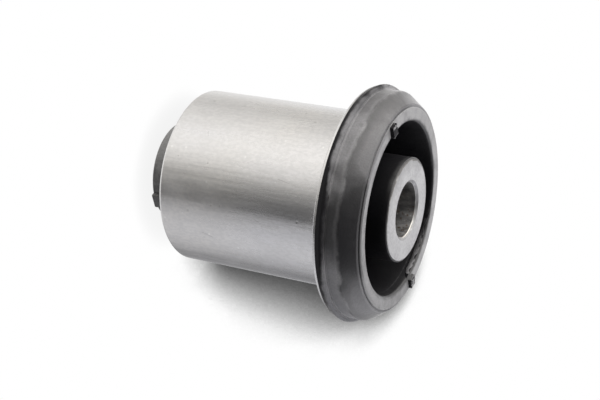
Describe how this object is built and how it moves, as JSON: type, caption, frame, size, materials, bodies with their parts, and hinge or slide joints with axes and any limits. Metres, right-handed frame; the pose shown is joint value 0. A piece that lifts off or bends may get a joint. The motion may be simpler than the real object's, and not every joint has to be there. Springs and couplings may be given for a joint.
{
  "type": "rubber metal bush",
  "caption": "Bonded suspension bush: rubber between a thick inner steel sleeve with a bolt bore and a flanged outer steel sleeve that presses into a housing.",
  "frame": {"origin": "foot of the bush's axis, in the plane of the inner sleeve's end face at the plain end, on which it stands", "axes": "+Z along the axis of the sleeves, from the plain end to the flanged end; X through the gate pips on the ring; Y through the lugs at the plain end"},
  "size_m": [0.0612, 0.0612, 0.0675],
  "materials": {
    "satin_steel": "satin drawn steel with faint tumbling marks",
    "turned_steel": "turned end faces, rough bore",
    "moulded_rubber": "black moulded rubber, half gloss"
  },
  "bodies": {
    "root": {"inner_sleeve": "turned_steel", "outer_sleeve": "satin_steel", "rubber_body": "moulded_rubber"}
  },
  "joints": []
}
